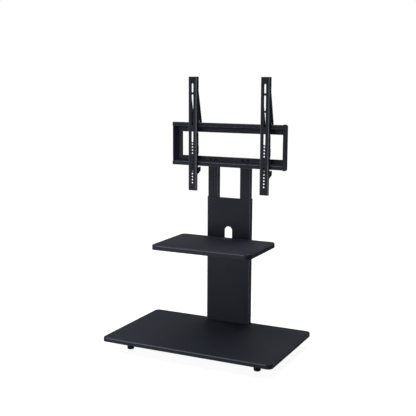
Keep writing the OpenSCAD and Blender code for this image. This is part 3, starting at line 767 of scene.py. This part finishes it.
def lay_stitch(bm, start, way):
    """One stitch of ripples from a corner point along a direction."""
    way = Vector(way)
    turn = way.to_track_quat("X", "Z").to_matrix().to_4x4()
    shape = Matrix.Diagonal((0.75 * LEG, LEG, LEG, 1))
    for step in range(int(STITCH / RIPPLE) + 1):
        place = Matrix.Translation(Vector(start) + way * RIPPLE * step) @ turn @ shape
        bmesh.ops.create_icosphere(bm, subdivisions=2, radius=1, matrix=place)


def welds(name, node, stitches):
    """The beads of one node, from (start, way) pairs in metres."""
    bm = bmesh.new()
    for start, way in stitches:
        lay_stitch(bm, start, way)
    make_piece(name, bm, node, edge=0, stands_for=False)
    print(name, len(stitches), "stitches")


for side in ("left", "right"):
    node = "shelf_bracket_" + side
    low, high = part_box(node)
    gusset = low.x + BRACKET_SHEET if side == "right" else high.x - BRACKET_SHEET
    leg_y, leg_z = high.y - BRACKET_SHEET, high.z - BRACKET_SHEET
    upright_seam = [((gusset, leg_y, low.z + at * MM), (0, 0, 1)) for at in (6, 44)]
    level_seam = [((gusset, low.y + at * MM, leg_z), (0, 1, 0)) for at in (10, 75, 140)]
    welds("bracket_welds_" + side, node, upright_seam + level_seam)
for end in ("front", "rear"):
    node = "base_stiffener_" + end
    low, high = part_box(node)
    seams = [
        ((at * MM, y, high.z), (1, 0, 0)) for y in (low.y, high.y) for at in (-210, -110, 90, 190)
    ]
    welds("channel_welds_" + end, node, seams)

# %% [markdown]
# ## The lamps
# The stand is in soft light. Wide lamps at the left, behind and above light the tops and the
# rims, and a low card in front lifts the upright sheets. Their strengths come from a fit: each was
# rendered alone, and their sum was matched to the picture, part by part.

# %% Hang the lamps
MIDDLE = Vector((0, 0, 0.5))


def softbox(name, bearing, height, size, brightness, distance=3.2):
    """A lamp that faces the middle of the stand, of a brightness where 1 is white.

    The bearing is in degrees from the front, + to the right, and the height is in degrees.
    """
    light = bpy.data.lights.new(name, "AREA")
    light.shape = "RECTANGLE"
    light.size, light.size_y = size
    light.energy = brightness * math.pi * size[0] * size[1]
    a, e = math.radians(bearing), math.radians(height)
    way = Vector((math.sin(a) * math.cos(e), -math.cos(a) * math.cos(e), math.sin(e)))
    lamp = bpy.data.objects.new(name, light)
    lamp.location = MIDDLE + way * distance
    lamp.rotation_mode = "QUATERNION"
    lamp.rotation_quaternion = way.to_track_quat("Z", "Y")
    bpy.context.scene.collection.objects.link(lamp)
    print(name, "lamp at", [round(c, 2) for c in lamp.location])


softbox("side", -97, 30, (2.6, 2.2), 1.9)
softbox("rear", 185, 45, (2.4, 1.6), 1.6)
softbox("ceiling", 0, 82, (2.4, 2.4), 2.3)
softbox("front_card", -26, -8, (1.2, 0.4), 4.1, distance=1.5)

# %% [markdown]
# ## The floor
# The floor is plain grey to the lamps. To the camera it is white, and a little less so close to
# the stand, so that the stand's own shadow stays in it. Light Path tells the camera's rays from
# the light that falls on the stand, and only a small share of that white is seen in the gloss of
# the sheets.

# %% Lay the floor
FLOOR_HALF, FLOOR_DROP = 12, 0.0002
WHITE_IN_GLOSS = 0.13

bm = bmesh.new()
under = Matrix.Translation((0, 0, -FLOOR_DROP))
bmesh.ops.create_grid(bm, x_segments=1, y_segments=1, size=FLOOR_HALF, matrix=under)
floor_mesh = bpy.data.meshes.new("floor")
bm.to_mesh(floor_mesh)
bm.free()
floor = bpy.data.objects.new("floor", floor_mesh)
bpy.context.scene.collection.objects.link(floor)
floor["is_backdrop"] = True

material, tree = new_material("studio_floor")
seen = add(tree, "LightPath")
direct = add(
    tree, "Math", {"operation": "MULTIPLY_ADD"},
    _0=seen.outputs["Is Glossy Ray"], _1=WHITE_IN_GLOSS, _2=seen.outputs["Is Camera Ray"],
)
paint = add(tree, "BsdfDiffuse", Color=linear("b0b0b0"))
place = add(tree, "TexCoord").outputs["Object"]
far = add(tree, "VectorMath", {"operation": "LENGTH"}, _0=place)
reach = add(
    tree, "MapRange",
    Value=far.outputs["Value"], From_Min=0.3, From_Max=0.75, To_Min=0.93, To_Max=1.0,
)
white = add(tree, "Emission", Color=linear("ffffff"), Strength=reach.outputs[0])
both = add(tree, "AddShader", _0=paint.outputs[0], _1=white.outputs[0])
mix = add(tree, "MixShader", Fac=direct.outputs[0], _1=paint.outputs[0], _2=both.outputs[0])
add(tree, "OutputMaterial", Surface=mix.outputs[0])
floor_mesh.materials.append(material)
print("floor", 2 * FLOOR_HALF, "m wide")

# %% [markdown]
# ## The room
# Past the floor's edge the camera sees a white room. The room gives the stand almost no light, so
# that the lamps shape it.

# %% Whiten the room
ROOM_LIGHT = 0.02

world = bpy.data.worlds.new("studio")
world.use_nodes = True
world.node_tree.nodes.clear()
bpy.context.scene.world = world
tree = world.node_tree
seen = add(tree, "LightPath")
direct = add(
    tree, "Math", {"operation": "MAXIMUM"},
    _0=seen.outputs["Is Camera Ray"], _1=seen.outputs["Is Transmission Ray"],
)
strength = add(tree, "MapRange", Value=direct.outputs[0], To_Min=ROOM_LIGHT, To_Max=1.0)
sky = add(tree, "Background", Color=linear("ffffff"), Strength=strength.outputs[0])
add(tree, "OutputWorld", Surface=sky.outputs[0])
print("room light", ROOM_LIGHT, "of white")

# %% [markdown]
# ## The size
# Dressing the solids must not change their size. The last step measures the box of the dressed
# stand.

# %% Measure the dressed stand
low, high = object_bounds()
